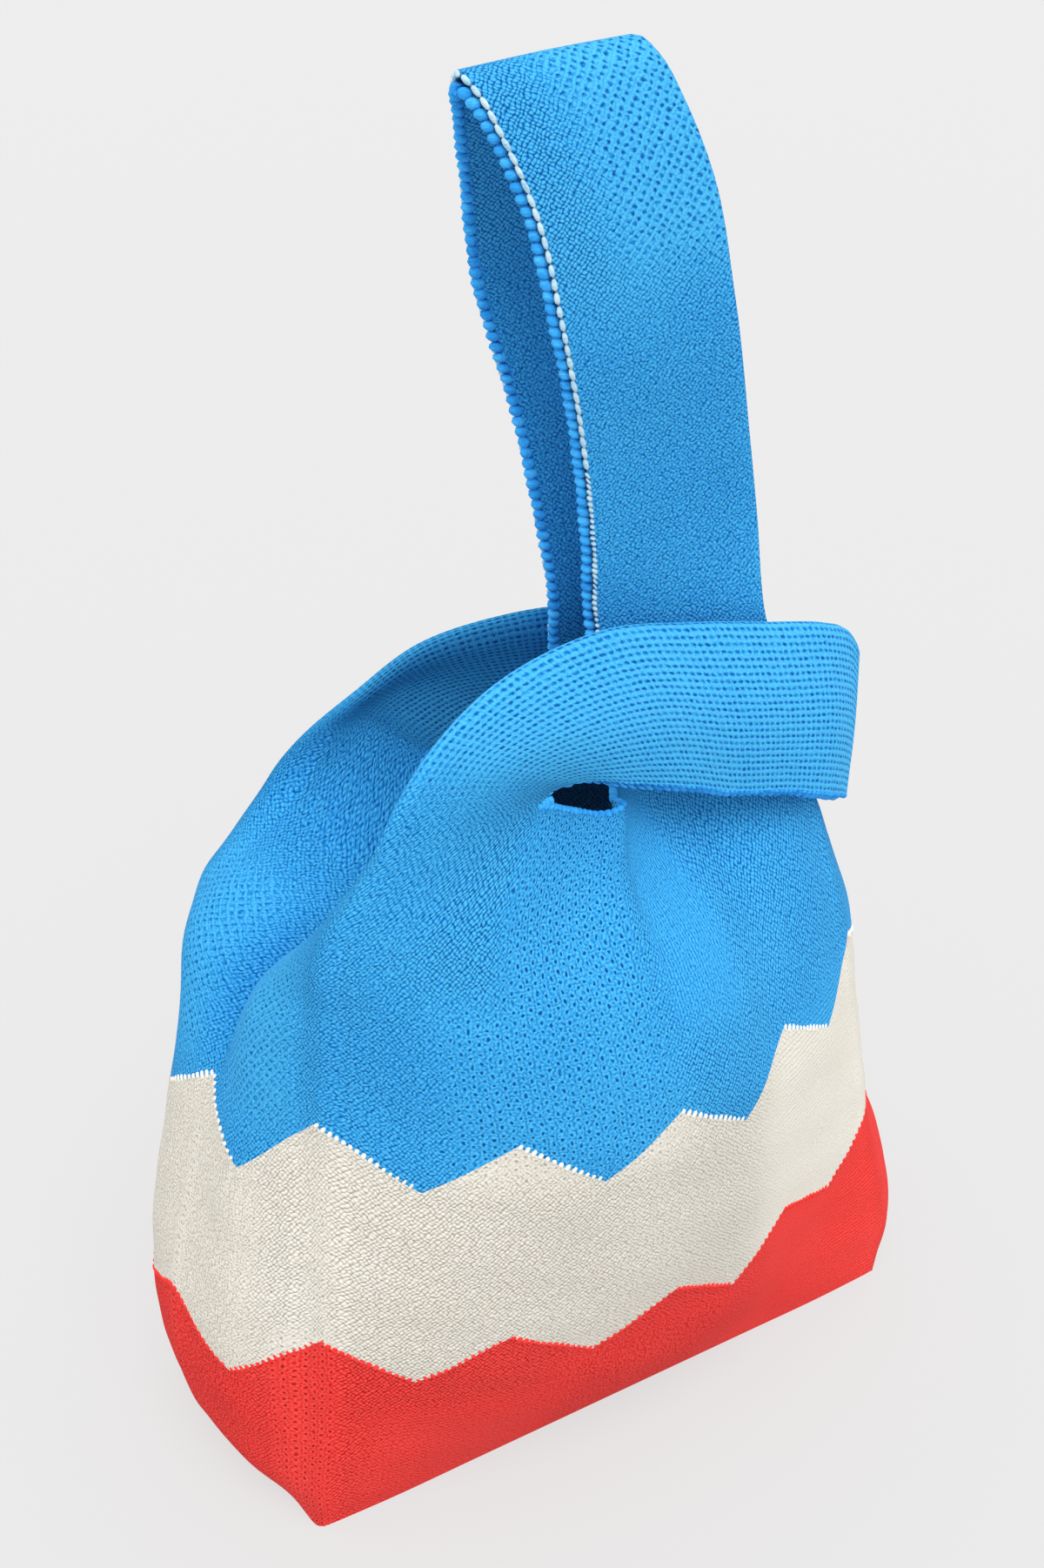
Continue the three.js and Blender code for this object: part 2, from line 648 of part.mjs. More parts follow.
// Flat base, linked to the foot of the walls
const base = new THREE.BoxGeometry(2 * BASE_HALF_LENGTH, 2 * BASE_HALF_DEPTH, PLY);
const baseKnit = new THREE.MeshStandardMaterial({
  color: RED,
  roughness: ROUGH_KNIT,
  metalness: 0,
});
const baseMesh = new THREE.Mesh(base, baseKnit);
baseMesh.name = 'base_panel';
baseMesh.position.set(0, 0, PLY / 2);
group.add(baseMesh);

export default group;
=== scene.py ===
import math

import bmesh
import bpy
import numpy as np
from mathutils import Matrix, Vector


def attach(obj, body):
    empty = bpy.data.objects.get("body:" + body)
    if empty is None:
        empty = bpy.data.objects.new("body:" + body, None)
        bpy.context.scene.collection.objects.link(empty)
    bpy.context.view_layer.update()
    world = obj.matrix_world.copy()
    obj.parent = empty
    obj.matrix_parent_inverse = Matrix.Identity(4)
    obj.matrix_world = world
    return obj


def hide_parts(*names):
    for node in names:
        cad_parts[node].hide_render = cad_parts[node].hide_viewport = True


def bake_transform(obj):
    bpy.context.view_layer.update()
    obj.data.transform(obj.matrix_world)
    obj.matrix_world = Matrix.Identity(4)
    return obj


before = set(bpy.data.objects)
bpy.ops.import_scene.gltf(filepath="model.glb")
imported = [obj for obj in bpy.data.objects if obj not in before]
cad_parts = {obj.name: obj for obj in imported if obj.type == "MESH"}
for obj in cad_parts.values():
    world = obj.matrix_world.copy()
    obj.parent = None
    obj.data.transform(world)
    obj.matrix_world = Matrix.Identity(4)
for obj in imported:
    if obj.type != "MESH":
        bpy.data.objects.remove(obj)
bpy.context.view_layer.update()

# Camera
# At the photograph's viewpoint: in front of the bag, to its left and above it. Fitted to the
# base's edges, the zigzags and the upright handle on a frame of 1200 x 1802.
bearing = math.radians(31.5336)
dip = math.radians(32.9743)
ahead = Vector((math.sin(bearing) * math.cos(dip), math.cos(bearing) * math.cos(dip),
                -math.sin(dip)))
sideways = Vector((math.cos(bearing), -math.sin(bearing), 0.0))
upwards = sideways.cross(ahead)
eye = (-0.36292, -0.5812, 0.67644)
focal_pixels, frame_height = 2882.9, 1802
camera_data = bpy.data.cameras.new("photo_camera")
camera_data.sensor_fit = "VERTICAL"
camera_data.sensor_height = 36.0
camera_data.lens = focal_pixels / frame_height * camera_data.sensor_height
camera_data.clip_start = 0.05
camera_data.clip_end = 60.0
camera = bpy.data.objects.new("photo_camera", camera_data)
camera.matrix_world = (Matrix.Translation(eye)
                       @ Matrix((sideways, upwards, -ahead)).transposed().to_4x4())
bpy.context.collection.objects.link(camera)
bpy.context.scene.camera = camera

# Red foot
# The foot of the bag: the lowest courses of the knitted tube, in red cotton, standing on a flat
# red base that is linked to them all round.

# The tube is one fabric, so its courses are laid out here up to the handles' tops: millimetres,
# from the left gusset's crease over the left fold, the front and the right fold to the right
# gusset's crease, a station every 30 mm of fabric
body_courses = [
    (0, [(-121, 0, 0), (-121, -27, 0), (-120, -53, 0), (-90, -54, 0), (-60, -54, 0), (-30, -54, 0),
         (0, -54, 0), (30, -54, 0), (60, -54, 0), (90, -54, 0), (120, -53, 0), (121, -27, 0),
         (121, 0, 0)]),
    (18, [(-134, 0, 14), (-132, -28, 15), (-121, -54, 18), (-90, -59, 17), (-60, -62, 17),
          (-30, -64, 16), (0, -65, 16), (30, -64, 16), (60, -61, 17), (90, -58, 17), (122, -53, 18),
          (136, -32, 15), (134, 0, 15)]),
    (42, [(-142, 0, 37), (-136, -29, 38), (-119, -54, 42), (-89, -64, 41), (-60, -71, 39),
          (-30, -76, 38), (0, -77, 37), (30, -75, 37), (58, -68, 38), (88, -60, 40), (118, -53, 41),
          (137, -29, 38), (138, 0, 38)]),
    (84, [(-143, 0, 79), (-137, -29, 79), (-116, -53, 84), (-89, -70, 82), (-60, -80, 80),
          (-30, -86, 79), (0, -88, 78), (28, -84, 77), (55, -74, 76), (84, -62, 78), (111, -50, 81),
          (124, -26, 81), (129, 0, 80)]),
    (125, [(-134, 0, 120), (-131, -27, 120), (-112, -49, 125), (-86, -70, 123), (-58, -82, 121),
           (-31, -90, 120), (-2, -92, 119), (25, -88, 119), (52, -78, 119), (79, -65, 120),
           (104, -49, 122), (118, -26, 122), (121, 0, 121)]),
    (165, [(-123, 0, 162), (-124, -24, 162), (-108, -42, 166), (-84, -66, 163), (-57, -80, 161),
           (-31, -89, 160), (-4, -92, 160), (23, -88, 160), (48, -76, 161), (73, -63, 161),
           (97, -47, 162), (112, -25, 163), (113, 0, 162)]),
    (205, [(-104, 0, 194), (-117, -24, 205), (-107, -43, 206), (-84, -61, 205), (-59, -73, 203),
           (-33, -78, 202), (-7, -79, 201), (20, -70, 202), (46, -52, 202), (73, -42, 201),
           (97, -27, 203), (103, -12, 202), (98, 0, 202)]),
    (235, [(-81, -12, 216), (-101, -30, 227), (-105, -44, 234), (-80, -57, 235), (-53, -63, 233),
           (-31, -62, 230), (-8, -60, 228), (12, -44, 230), (38, -26, 231), (67, -21, 230),
           (91, -18, 231), (86, -8, 231), (68, -2, 230)]),
    (265, [(-52, -26, 236), (-74, -36, 249), (-85, -43, 259), (-58, -53, 264), (-31, -50, 261),
           (-13, -45, 250.5), (1, -43, 245), (9, -32, 252), (19, -25, 262), (51, -23, 263),
           (84, -21, 260), (62, -15, 261), (36, -14, 261)]),
]
# Above the neckline only the straps go on: the short handle's outer ply at the left, and the
# long handle's at the right
short_courses = [
    (295, [(-63, -42, 287), (-42, -51, 280), (-16, -49, 265)]),
    (325, [(-34, -37, 302), (-15, -49, 284), (4, -49, 258)]),
    (355, [(4, -31, 304), (15, -44, 279), (26, -48, 249)]),
    (385, [(40, -28, 295), (45, -41, 267), (48, -45, 238)]),
    (415, [(73, -25, 284), (74, -37, 256), (71, -42, 229)]),
    (440, [(102, -18, 272), (99, -30, 245), (92, -37, 218)]),
    (456, [(118, -10, 261), (116, -17, 231), (110, -22, 203)]),
    (466, [(126, -5.8, 251), (126, -6.5, 220), (124, -7.5, 190)]),
    (473, [(129, 0, 249), (129, 0, 219), (127, 0, 188)]),
    (480, [(126, 5.8, 251), (126, 6.5, 220), (124, 7.5, 190)]),
]
long_courses = [
    (292, [(13, -15.5, 292), (46, -16, 288), (78, -17, 282)]),
    (320, [(9.5, -18, 320), (41, -18, 319), (72, -18, 318)]),
    (350, [(4.5, -21, 350), (34.5, -21, 350), (65, -21, 349)]),
    (400, [(-7.5, -26, 400), (22.5, -26, 400), (53, -26, 399)]),
    (437, [(-14, -21, 435), (17, -21, 435), (47, -21, 435)]),
    (460, [(-20, -13.5, 455), (11, -13.5, 456), (41, -13.5, 456)]),
    (472, [(-23.5, -8, 465), (7, -8, 466), (37.5, -8, 466)]),
    (482, [(-26, 0, 470), (4.5, 0, 471), (35, 0, 471)]),
    (492, [(-23.5, 8, 465), (7, 8, 466), (37.5, 8, 466)]),
]
# Heights and widths on the fabric, millimetres
neckline, gusset_split, short_top, long_top = 265, 205, 473, 482
panel_width, strap, gusset_half = 240, 60, 60
# The back leans in earlier and lies lower at the left, and is pulled flatter further right; its
# open half gusset and the lower edge of its handle hang in their own way
back_v = [165, 205, 235, 265, 295, 325, 355, 385, 415, 440, 466]
back_dx = [0, 4, 15.5, 13.5, 18, 12, 5, 1, 0, 0, 0]
back_dz = [0, -1, -12.5, -14.5, -27, -27, -24, -19, -14, -8, 0]
back_flat = [0, 0.18, 0.22, 0.16, 0, 0, 0, 0, 0, 0, 0]
lean_share = {3: 0.8, 4: 0.4, 5: 0.3}
back_own = {
    -2: {235: (-74, -1, 208), 265: (-46, 9, 206)},
    -1: {235: (-89, 24, 218), 265: (-58, 30, 226)},
    0: {415: (73, 25.6, 266), 440: (102, 18.8, 255.5), 456: (118, 10, 252.5), 466: (126, 5.8, 249.5)},
    1: {265: (-45, 51, 239.5), 295: (-31, 50.5, 251), 325: (-9, 49, 256), 440: (99, 30, 235),
        456: (116, 17, 226)},
    2: {265: (-24, 51, 223.5), 295: (-9, 50.5, 229), 325: (9, 50, 236), 355: (29, 48, 231)},
    3: {235: (-21, 51, 209), 265: (-9, 43, 215)},
    4: {235: (-3, 48, 209), 265: (3, 40, 218)},
    5: {235: (17, 40, 216), 265: (14, 33, 228)},
}


def smooth(low, high, value):
    t = np.clip((value - low) / (high - low), 0, 1)
    return t * t * (3 - 2 * t)


def rail(column, side):
    stations = [(v, row[column + 2]) for v, row in body_courses]
    if 0 <= column <= 2:
        stations += [(v, row[column]) for v, row in short_courses]
    if 6 <= column <= 8:
        stations += [(v, row[column - 6]) for v, row in long_courses]
    heights = np.array([v for v, _ in stations], float)
    points = np.array([p for _, p in stations], float)
    if side > 0:
        share = 1 if column <= 2 else lean_share.get(column, 0)
        flat = np.interp(heights, back_v, back_flat) * (column > 2)
        points[:, 1] *= -(1 - flat)
        points[:, 0] += share * np.interp(heights, back_v, back_dx)
        points[:, 2] += share * np.interp(heights, back_v, back_dz)
        for v, point in back_own.get(column, {}).items():
            points[heights == v] = point
    return heights, points


rails = {(side, column): rail(column, side) for side in (-1, 1) for column in range(-2, 11)}


def curve(stations, points, t):
    # Smooth curve through the stations, straight beyond its ends; points is one set for all
    # t, or one set for each
    gap = np.diff(stations)[:, None]
    run = np.diff(points, axis=-2) / gap
    slope = np.empty_like(points)
    slope[..., 0, :] = run[..., 0, :]
    slope[..., -1, :] = run[..., -1, :]
    slope[..., 1:-1, :] = ((run[..., :-1, :] * gap[1:] + run[..., 1:, :] * gap[:-1])
                           / (gap[1:] + gap[:-1]))
    cell = np.clip(np.searchsorted(stations, t, side="right") - 1, 0, len(stations) - 2)
    if points.ndim == 2:
        first, last, leave, arrive = points[cell], points[cell + 1], slope[cell], slope[cell + 1]
    else:
        each = np.arange(len(t))
        first, last = points[each, cell], points[each, cell + 1]
        leave, arrive = slope[each, cell], slope[each, cell + 1]
    h = gap[cell]
    s = ((t - stations[cell]) / gap[cell, 0])[:, None]
    q = np.clip(s, 0, 1)
    found = (first * (2 * q**3 - 3 * q**2 + 1) + leave * h * (q**3 - 2 * q**2 + q)
             + last * (3 * q**2 - 2 * q**3) + arrive * h * (q**3 - q**2))
    return found + (s - q) * h * np.where(s < 0, leave, arrive)


def across(first, last, u, v, side):
    columns = range(first, last + 1)
    points = np.stack([curve(*rails[side, c], v) for c in columns], axis=1)
    return curve(np.array(columns, float) * 30, points, u)


def panel(u, v, side):
    # Outside of the front or back; above the neckline only the handles' outer plies go on
    whole = across(0, 8, u, v, side)
    straps = np.where((u <= panel_width / 2)[:, None], across(0, 2, u, v, side),
                      across(6, 8, u, v, side))
    return whole + (straps - whole) * smooth(neckline, neckline + 22, v)[:, None]


def open_gusset(u, v, side):
    return np.where((u <= panel_width / 2)[:, None], across(-2, 0, u, v, side),
                    across(8, 10, u, v, side))


def normal(surface, u, v, side):
    e = 0.4
    du = surface(u + e, v, side) - surface(u - e, v, side)
    dv = surface(u, v + e, side) - surface(u, v - e, side)
    n = np.cross(du, dv) * -side
    return n / np.maximum(np.linalg.norm(n, axis=1), 1e-9)[:, None]


def fold_share(u, v):
    # How far a half gusset lies folded behind its handle, 0 to 1
    return np.where(u <= panel_width / 2, smooth(250, 280, v), smooth(228, 262, v))


def stacking(u, v, side):
    # Direction in which a handle's two plies lie on each other
    own = normal(panel, u, v, side)
    middle = np.where(u <= panel_width / 2, strap / 2, panel_width - strap / 2)
    share = fold_share(u, v) * ((u <= strap) | (u >= panel_width - strap))
    n = own + (normal(panel, middle, v, side) - own) * share[:, None]
    return n / np.linalg.norm(n, axis=1)[:, None]


ply_step, folded_step = 5.5, 4.0


def gusset(u, v, side):
    # A half gusset: open at the foot, and folded behind its handle further up, closer to it at
    # the left fold of the back
    facing = np.where(u < 0, -u, np.where(u > panel_width, 2 * panel_width - u, u))
    step = ply_step - (ply_step - folded_step) * smooth(20, 0, facing) * (side > 0)
    ply = panel(facing, v, side) - step[:, None] * stacking(facing, v, side)
    opened = open_gusset(u, v, side)
    return opened + (ply - opened) * fold_share(u, v)[:, None]


def fabric(u, v, side):
    # Outside of the knit anywhere, with soft turns at the folds
    u, v = np.asarray(u, float), np.asarray(v, float)
    inside = (u >= 0) & (u <= panel_width)
    found = np.empty((len(u), 3))
    if inside.any():
        found[inside] = panel(u[inside], v[inside], side)
    if (~inside).any():
        found[~inside] = gusset(u[~inside], v[~inside], side)
    open_turn, folded_turn, back_turn = 9, 4.5, 9
    for fold, out in ((0.0, -1), (float(panel_width), 1)):
        before = open_turn - (open_turn - folded_turn) * fold_share(np.full_like(v, fold), v)
        beyond = before + back_turn * (side > 0 and fold == 0) * smooth(180, 240, v)
        reach = (u - fold) * out
        near = (reach > -before) & (reach < beyond)
        if not near.any():
            continue
        w, far, height = before[near], beyond[near], v[near]
        t = ((reach[near] + w) / (w + far))[:, None]
        line = np.full_like(height, fold)
        ends = [panel(line - out * w, height, side), panel(line, height, side),
                gusset(line + out * 1e-3, height, side), gusset(line + out * far, height, side)]
        found[near] = ((1 - t)**3 * ends[0] + 3 * t * (1 - t)**2 * ends[1]
                       + 3 * t**2 * (1 - t) * ends[2] + t**3 * ends[3])
    return found


# Width of a stitch and height of a row
stitch, row_height = 120 / 52, 2.0


def dents(u, v, side):
    # Shallow unevenness of hand knitting, millimetres out of the surface, and the sharp pleat
    # that runs down from the right end of the hole under the short handle
    turned = v + 300 * (side > 0)
    shallow = (0.45 * np.sin(u / 13 + 1.7 * np.sin(turned / 31)) * np.sin(turned / 17 + u / 41)
               + 0.3 * np.sin(u / 6.1 + turned / 9.7) * np.sin(turned / 7.3 - u / 15))
    flat = smooth(0, 14, u + gusset_half) * smooth(0, 14, panel_width + gusset_half - u)
    pleat = smooth(102, 124, u) * smooth(131, 125, u) * smooth(195, 250, v) * (side < 0)
    ends = smooth(0, 12, v) * smooth(neckline, neckline - 14, v) * (1 - fold_share(u, v))
    pleat_height = 3.4
    return shallow * flat * ends + pleat_height * pleat


def knit_place(u, v, side):
    # The fabric with its unevenness, and the left gusset's crease drawn in where it opens
    u, v = np.asarray(u, float), np.asarray(v, float)
    out = normal(fabric, u, np.minimum(v, neckline - 0.5), side)
    place = fabric(u, v, side) + dents(u, v, side)[:, None] * out
    drawn_in = 5
    place[:, 0] += drawn_in * (smooth(13, 0, np.abs(u + gusset_half)) * smooth(158, 188, v)
                               * smooth(240, 205, v))
    return place


def within(low, high, soft, value):
    return smooth(low - soft, low + soft, value) * smooth(high + soft, high - soft, value)


def feel(u, v):
    # How the stitches look, place by place. First set: shares of matted grain, of columns of
    # rings and of a square grid, and the contrast. Second set: shares of upright ribs, of level
    # ribs and of an open net.
    left, cream_up, full = u <= panel_width / 2, smooth(145, 165, v), np.ones_like(u)
    matted = np.maximum.reduce([
        0.35 * smooth(48, 22, u) * cream_up * smooth(300, 270, v),
        0.9 * smooth(-14, -34, u) * (1 - cream_up),
        0.9 * within(80, 150, 14, u) * smooth(78, 60, v),
        0.45 * within(285, 405, 14, v) * (u > panel_width / 2)])
    columns = np.maximum.reduce([
        0.9 * within(62, 120, 8, u) * within(195, 290, 16, v) * (v < neckline),
        0.75 * within(38, 122, 14, u) * within(152, 215, 10, v),
        0.8 * within(-16, 6, 3, u) * smooth(96, 84, v),
        0.3 * within(-5, 5, 2, u) * within(84, 150, 8, v),
        0.7 * within(-62, -57, 2, u) * within(60, 150, 8, v)])
    grid = within(285, 480, 18, v) * left
    upright = 0.8 * within(126, 160, 6, u) * within(190, 290, 14, v) * (v < neckline)
    level = np.maximum(0.9 * smooth(150, 185, u) * smooth(175, 150, v),
                       0.45 * within(12, 80, 12, u) * smooth(62, 48, v))
    net = np.maximum.reduce([
        0.9 * smooth(188, 212, u) * (u <= panel_width) * smooth(396, 430, v),
        0.6 * within(-48, -8, 8, u) * within(165, 235, 12, v)])
    calm = np.maximum(0.4 * smooth(140, 175, u) * (1 - cream_up),
                      0.15 * smooth(124, 150, u) * cream_up * (v < neckline))
    return (np.stack([matted, columns, grid, full - calm], axis=1),
            np.stack([upright, level, net, full], axis=1))


def knit_sheet(bm, u_range, low, high, tall, side):
    # One grid with a cell for each stitch, laid on the fabric between two courses, each of
    # which is a height or runs in a zigzag
    wide = round((u_range[1] - u_range[0]) / stitch)
    made = bmesh.ops.create_grid(bm, x_segments=wide, y_segments=tall, size=0.5)
    verts = made["verts"]
    flat = np.array([vert.co[:] for vert in verts])
    u = u_range[0] + (flat[:, 0] + 0.5) * (u_range[1] - u_range[0])
    foot, head = (course(u) if callable(course) else np.full_like(u, course)
                  for course in (low, high))
    v = foot + (flat[:, 1] + 0.5) * (head - foot)
    stitches = bm.loops.layers.uv["stitches"]
    layers = [bm.verts.layers.float_color[name] for name in ("feel", "ribs")]
    for vert, point, *looks in zip(verts, knit_place(u, v, side), *feel(u, v)):
        vert.co = point / 1000
        for layer, look in zip(layers, looks):
            vert[layer] = look
    # The back takes other rows of the pattern, so it isn't the front's mirror image
    back_rows = 200 * (side > 0)
    cells = {vert: (x / stitch, y / row_height + back_rows) for vert, x, y in zip(verts, u, v)}
    faces = {face for vert in verts for face in vert.link_faces}
    for face in faces:
        for loop in face.loops:
            loop[stitches].uv = cells[loop.vert]
    if side > 0:
        bmesh.ops.reverse_faces(bm, faces=list(faces))


def new_knit():
    bm = bmesh.new()
    bm.loops.layers.uv.new("stitches")
    for name in ("feel", "ribs"):
        bm.verts.layers.float_color.new(name)
    return bm


def finish_knit(bm, name, material, thickness=1.9, crease_rounds=0):
    # Join the halves, round the gussets' creases, and give the knit its thickness inwards
    seam, crease_reach = 2e-5, 0.006
    bmesh.ops.remove_doubles(bm, verts=bm.verts, dist=seam)
    for _ in range(crease_rounds):
        near = [vert for vert in bm.verts
                if abs(vert.co.y) < crease_reach and not vert.is_boundary]
        bmesh.ops.smooth_vert(bm, verts=near, factor=0.5, use_axis_x=True, use_axis_y=True,
                              use_axis_z=True)
    for edge in bm.edges:
        edge.smooth = not edge.is_boundary
    for face in bm.faces:
        face.smooth = True
    mesh = bpy.data.meshes.new(name)
    bm.to_mesh(mesh)
    bm.free()
    piece = bpy.data.objects.new(name, mesh)
    bpy.context.collection.objects.link(piece)
    mesh.materials.append(material)
    wall = piece.modifiers.new("ply", "SOLIDIFY")
    wall.thickness = thickness / 1000
    wall.offset = -1
    return piece


class Shade:
    """A socket in a material; arithmetic on it adds Math nodes."""

    def __init__(self, tree, socket=None):
        self.tree = tree
        self.socket = socket

    def node(self, kind, settings=None, inputs=None):
        made = self.tree.nodes.new(kind)
        for key, value in (settings or {}).items():
            if key == "stops":
                ramp = made.color_ramp
                while len(ramp.elements) < len(value):
                    ramp.elements.new(0.5)
                for element, (position, colour) in zip(ramp.elements, value):
                    element.position = position
                    element.color = colour
            else:
                setattr(made, key, value)
        for key, value in (inputs or {}).items():
            if isinstance(value, Shade):
                self.tree.links.new(value.socket, made.inputs[key])
            else:
                made.inputs[key].default_value = value
        return Shade(self.tree, made.outputs[0])

    def math(self, operation, *values):
        return self.node("ShaderNodeMath", {"operation": operation}, dict(enumerate(values)))

    def __add__(self, other):
        return self.math("ADD", self, other)

    def __sub__(self, other):
        return self.math("SUBTRACT", self, other)

    def __rsub__(self, other):
        return self.math("SUBTRACT", other, self)

    def __mul__(self, other):
        return self.math("MULTIPLY", self, other)

    def __pow__(self, other):
        return self.math("POWER", self, other)

    def __abs__(self):
        return self.math("ABSOLUTE", self)

    def parts(self):
        return [Shade(self.tree, socket) for socket in self.socket.node.outputs]

    def fraction(self):
        return self.math("FRACT", self)

    def ramp(self, low, high):
        return self.node("ShaderNodeMapRange", {"interpolation_type": "SMOOTHSTEP"},
                         {0: self, 1: low, 2: high, 3: 0.0, 4: 1.0})

    def toward(self, other, share):
        return self + (other - self) * share

    def colours(self, *stops):
        return self.node("ShaderNodeValToRGB", {"stops": stops}, {0: self})

    def feed(self, socket):
        self.tree.links.new(self.socket, socket)

    __radd__ = __add__
    __rmul__ = __mul__


def noise(place, scale, detail, rough=0.5):
    return place.node("ShaderNodeTexNoise", {"noise_dimensions": "2D"},
                      {"Vector": place, "Scale": scale, "Detail": detail, "Roughness": rough})


def nubs(x, y, loose):
    # Loops of yarn on a lattice: distance from the nearest one's middle, and how far towards
    # the side that takes a painted highlight, its other side taking painted shade
    place = x.node("ShaderNodeCombineXYZ", None, {0: x, 1: y})
    far, _, middle = x.node("ShaderNodeTexVoronoi", {"voronoi_dimensions": "2D"},
                            {"Vector": place, "Scale": 1.0, "Randomness": loose}).parts()[:3]
    right, below, _ = x.node("ShaderNodeSeparateXYZ", None, {0: middle}).parts()
    return far, (below - y) + (x - right) * 0.35


def ovals(x, y, wide, tall):
    # Distance from the middle of each unit cell in oval rings
    x, y = (x.fraction() - 0.5) * (1 / wide), (y.fraction() - 0.5) * (1 / tall)
    return (x * x + y * y) ** 0.5


def knit_material(name, tones):
    # Rounded loops of yarn with painted shade in the gaps between them; the tones run from that
    # painted shade to painted highlight on the loops' tops, over the yarn's own uneven tone. Two
    # attributes of the mesh say how the loops lie.
    material = bpy.data.materials.new(name)
    material.use_nodes = True
    surface = material.node_tree.nodes["Principled BSDF"]
    start = Shade(material.node_tree)
    place = start.node("ShaderNodeUVMap", {"uv_map": "stitches"})
    looks = start.node("ShaderNodeAttribute", {"attribute_name": "feel"})
    lines = start.node("ShaderNodeAttribute", {"attribute_name": "ribs"})
    matted, columns, grid = start.node("ShaderNodeSeparateColor", None, {0: looks}).parts()
    upright, level, net = start.node("ShaderNodeSeparateColor", None, {0: lines}).parts()
    contrast = looks.parts()[3]
    along, up, _ = start.node("ShaderNodeSeparateXYZ", None, {0: place}).parts()
    stray = start.node("ShaderNodeSeparateColor", None,
                       {0: noise(place, 0.55, 1.0).parts()[1]}).parts()
    fuzz = noise(place, 3.2, 3.0, 0.75)
    u, v = along + (stray[0] - 0.5) * 0.8, up + (stray[1] - 0.5) * 0.8

    # Plain stitches lie in slanting rows, matted ones are small grains; each loop is painted lighter
    # at its middle, with painted highlight and painted shade on its two sides and painted shade where
    # loops meet
    rise, fall = u + v * 0.89, u - v * 0.89
    # The second value is painted highlight on one side of each loop and painted shade on the other
    far, painted_light = nubs(rise * 1.25, fall * 1.25, 0.3)
    plain = 0.30 + far.ramp(0.58, 0.14) * 0.44 + painted_light * 0.40 - far.ramp(0.52, 0.72) * 0.3
    grain, grain_painted_light = nubs(u * 1.9, v * 1.7, 0.6)
    grains = 0.18 + grain.ramp(0.66, 0.04) * 0.68 + grain_painted_light * 0.32

    # Columns of rings round dots of painted shade in their holes, every other one half a ring higher
    column = along.math("FLOOR", along * 0.72)
    ring = ovals(along * 0.72 + (stray[0] - 0.5) * 0.35,
                 v * 0.68 + column.math("MODULO", column, 2.0) * 0.5, 0.85, 1.0)
    rings = 0.44 + ring.ramp(0.66, 0.30) * 0.30 - ring.ramp(0.30, 0.07) * 0.80 + (grains - 0.5) * 0.5

    # Level and upright threads with dashes of painted shade between, and an open net on the slant
    # with painted shade in its holes and painted highlight and shade on its loops
    dash = ovals(along * 0.96 + (stray[0] - 0.5) * 0.25, up * 0.77 + (stray[1] - 0.5) * 0.4, 0.8, 1.2)
    threads = (0.66 - dash.ramp(0.40, 0.10) * (0.10 + stray[2] * 0.6)
               + (dash.ramp(0.3, 0.6) - 0.5) * 0.14 + (grains - 0.5) * 0.2)
    gap = nubs(rise * 0.64, fall * 0.64, 0.22)[0].ramp(0.40, 0.10)
    netting = 0.70 - gap * (0.25 + stray[2] * 0.6) + painted_light * 0.2

    # Fine ribs, with painted shade in the grooves between them
    across = abs((along * 1.7 + (stray[0] - 0.5) * 0.6).fraction() - 0.5).ramp(0.0, 0.35)
    rows = abs((up * 1.05 + (stray[1] - 0.5) * 0.5).fraction() - 0.5).ramp(0.0, 0.30)
    tone = plain.toward(grains, matted).toward(rings, columns).toward(threads, grid)
    tone = tone.toward(netting, net).toward(0.12 + across * 0.36 + grains * 0.4, upright)
    tone = tone.toward(0.14 + rows * 0.42 + grains * 0.3, level)
    tone = (0.66 + (tone - 0.5) * contrast * 1.45 + (fuzz - 0.5) * 1.2
            + (noise(place, 0.05, 2.0) - 0.5) * 0.2)
    tone.colours(*tones).feed(surface.inputs["Base Color"])
    (1.0 - tone * 0.12).feed(surface.inputs["Roughness"])
    surface.inputs["Specular IOR Level"].default_value = 0.12
    relief = 0.0006
    start.node("ShaderNodeBump", None, {"Height": tone, "Distance": relief}).feed(
        surface.inputs["Normal"])
    return material


def edge_material(name, tones):
    # Thicker yarn of the cast-off and linked edges
    material = bpy.data.materials.new(name)
    material.use_nodes = True
    surface = material.node_tree.nodes["Principled BSDF"]
    place = Shade(material.node_tree).node("ShaderNodeUVMap", {"uv_map": "stitches"})
    fuzz = noise(place, 2.6, 3.0, 0.7)
    (fuzz * 0.9 + noise(place, 0.35, 1.0) * 0.7 - 0.3).colours(*tones).feed(
        surface.inputs["Base Color"])
    (fuzz * 0.1 + 0.85).feed(surface.inputs["Roughness"])
    surface.inputs["Specular IOR Level"].default_value = 0.12
    relief = 0.0003
    place.node("ShaderNodeBump", None, {"Height": fuzz, "Distance": relief}).feed(
        surface.inputs["Normal"])
    return material


def bead_row(bm, line, away, inward, pitch, size, ragged=0.1):
    # Loops of yarn along an edge, each a rounded bead; size is its length, width and thickness
    reach = np.concatenate([[0], np.cumsum(np.linalg.norm(np.diff(line, axis=0), axis=1))])
    for i in range(int(reach[-1] / pitch)):
        middle = (i + 0.5) * pitch
        centre, ahead, before, out, deep = (
            Vector([np.interp(at, reach, rows[:, k]) for k in range(3)])
            for at, rows in ((middle, line), (middle + 1, line), (middle - 1, line),
                             (middle, away), (middle, inward)))
        run = (ahead - before).normalized()
        odd = ragged * math.sin(i * 12.9)
        lean = (run + out * odd).normalized()
        axes = Matrix((lean * size[0] * (1 + odd), out * size[1] * (1 + ragged * math.sin(i * 7.3)),
                       deep * size[2])).transposed().to_4x4()
        bmesh.ops.create_uvsphere(bm, u_segments=8, v_segments=5, radius=0.0005,
                                  matrix=Matrix.Translation(centre / 1000) @ axes)


edge_depth = 1.1


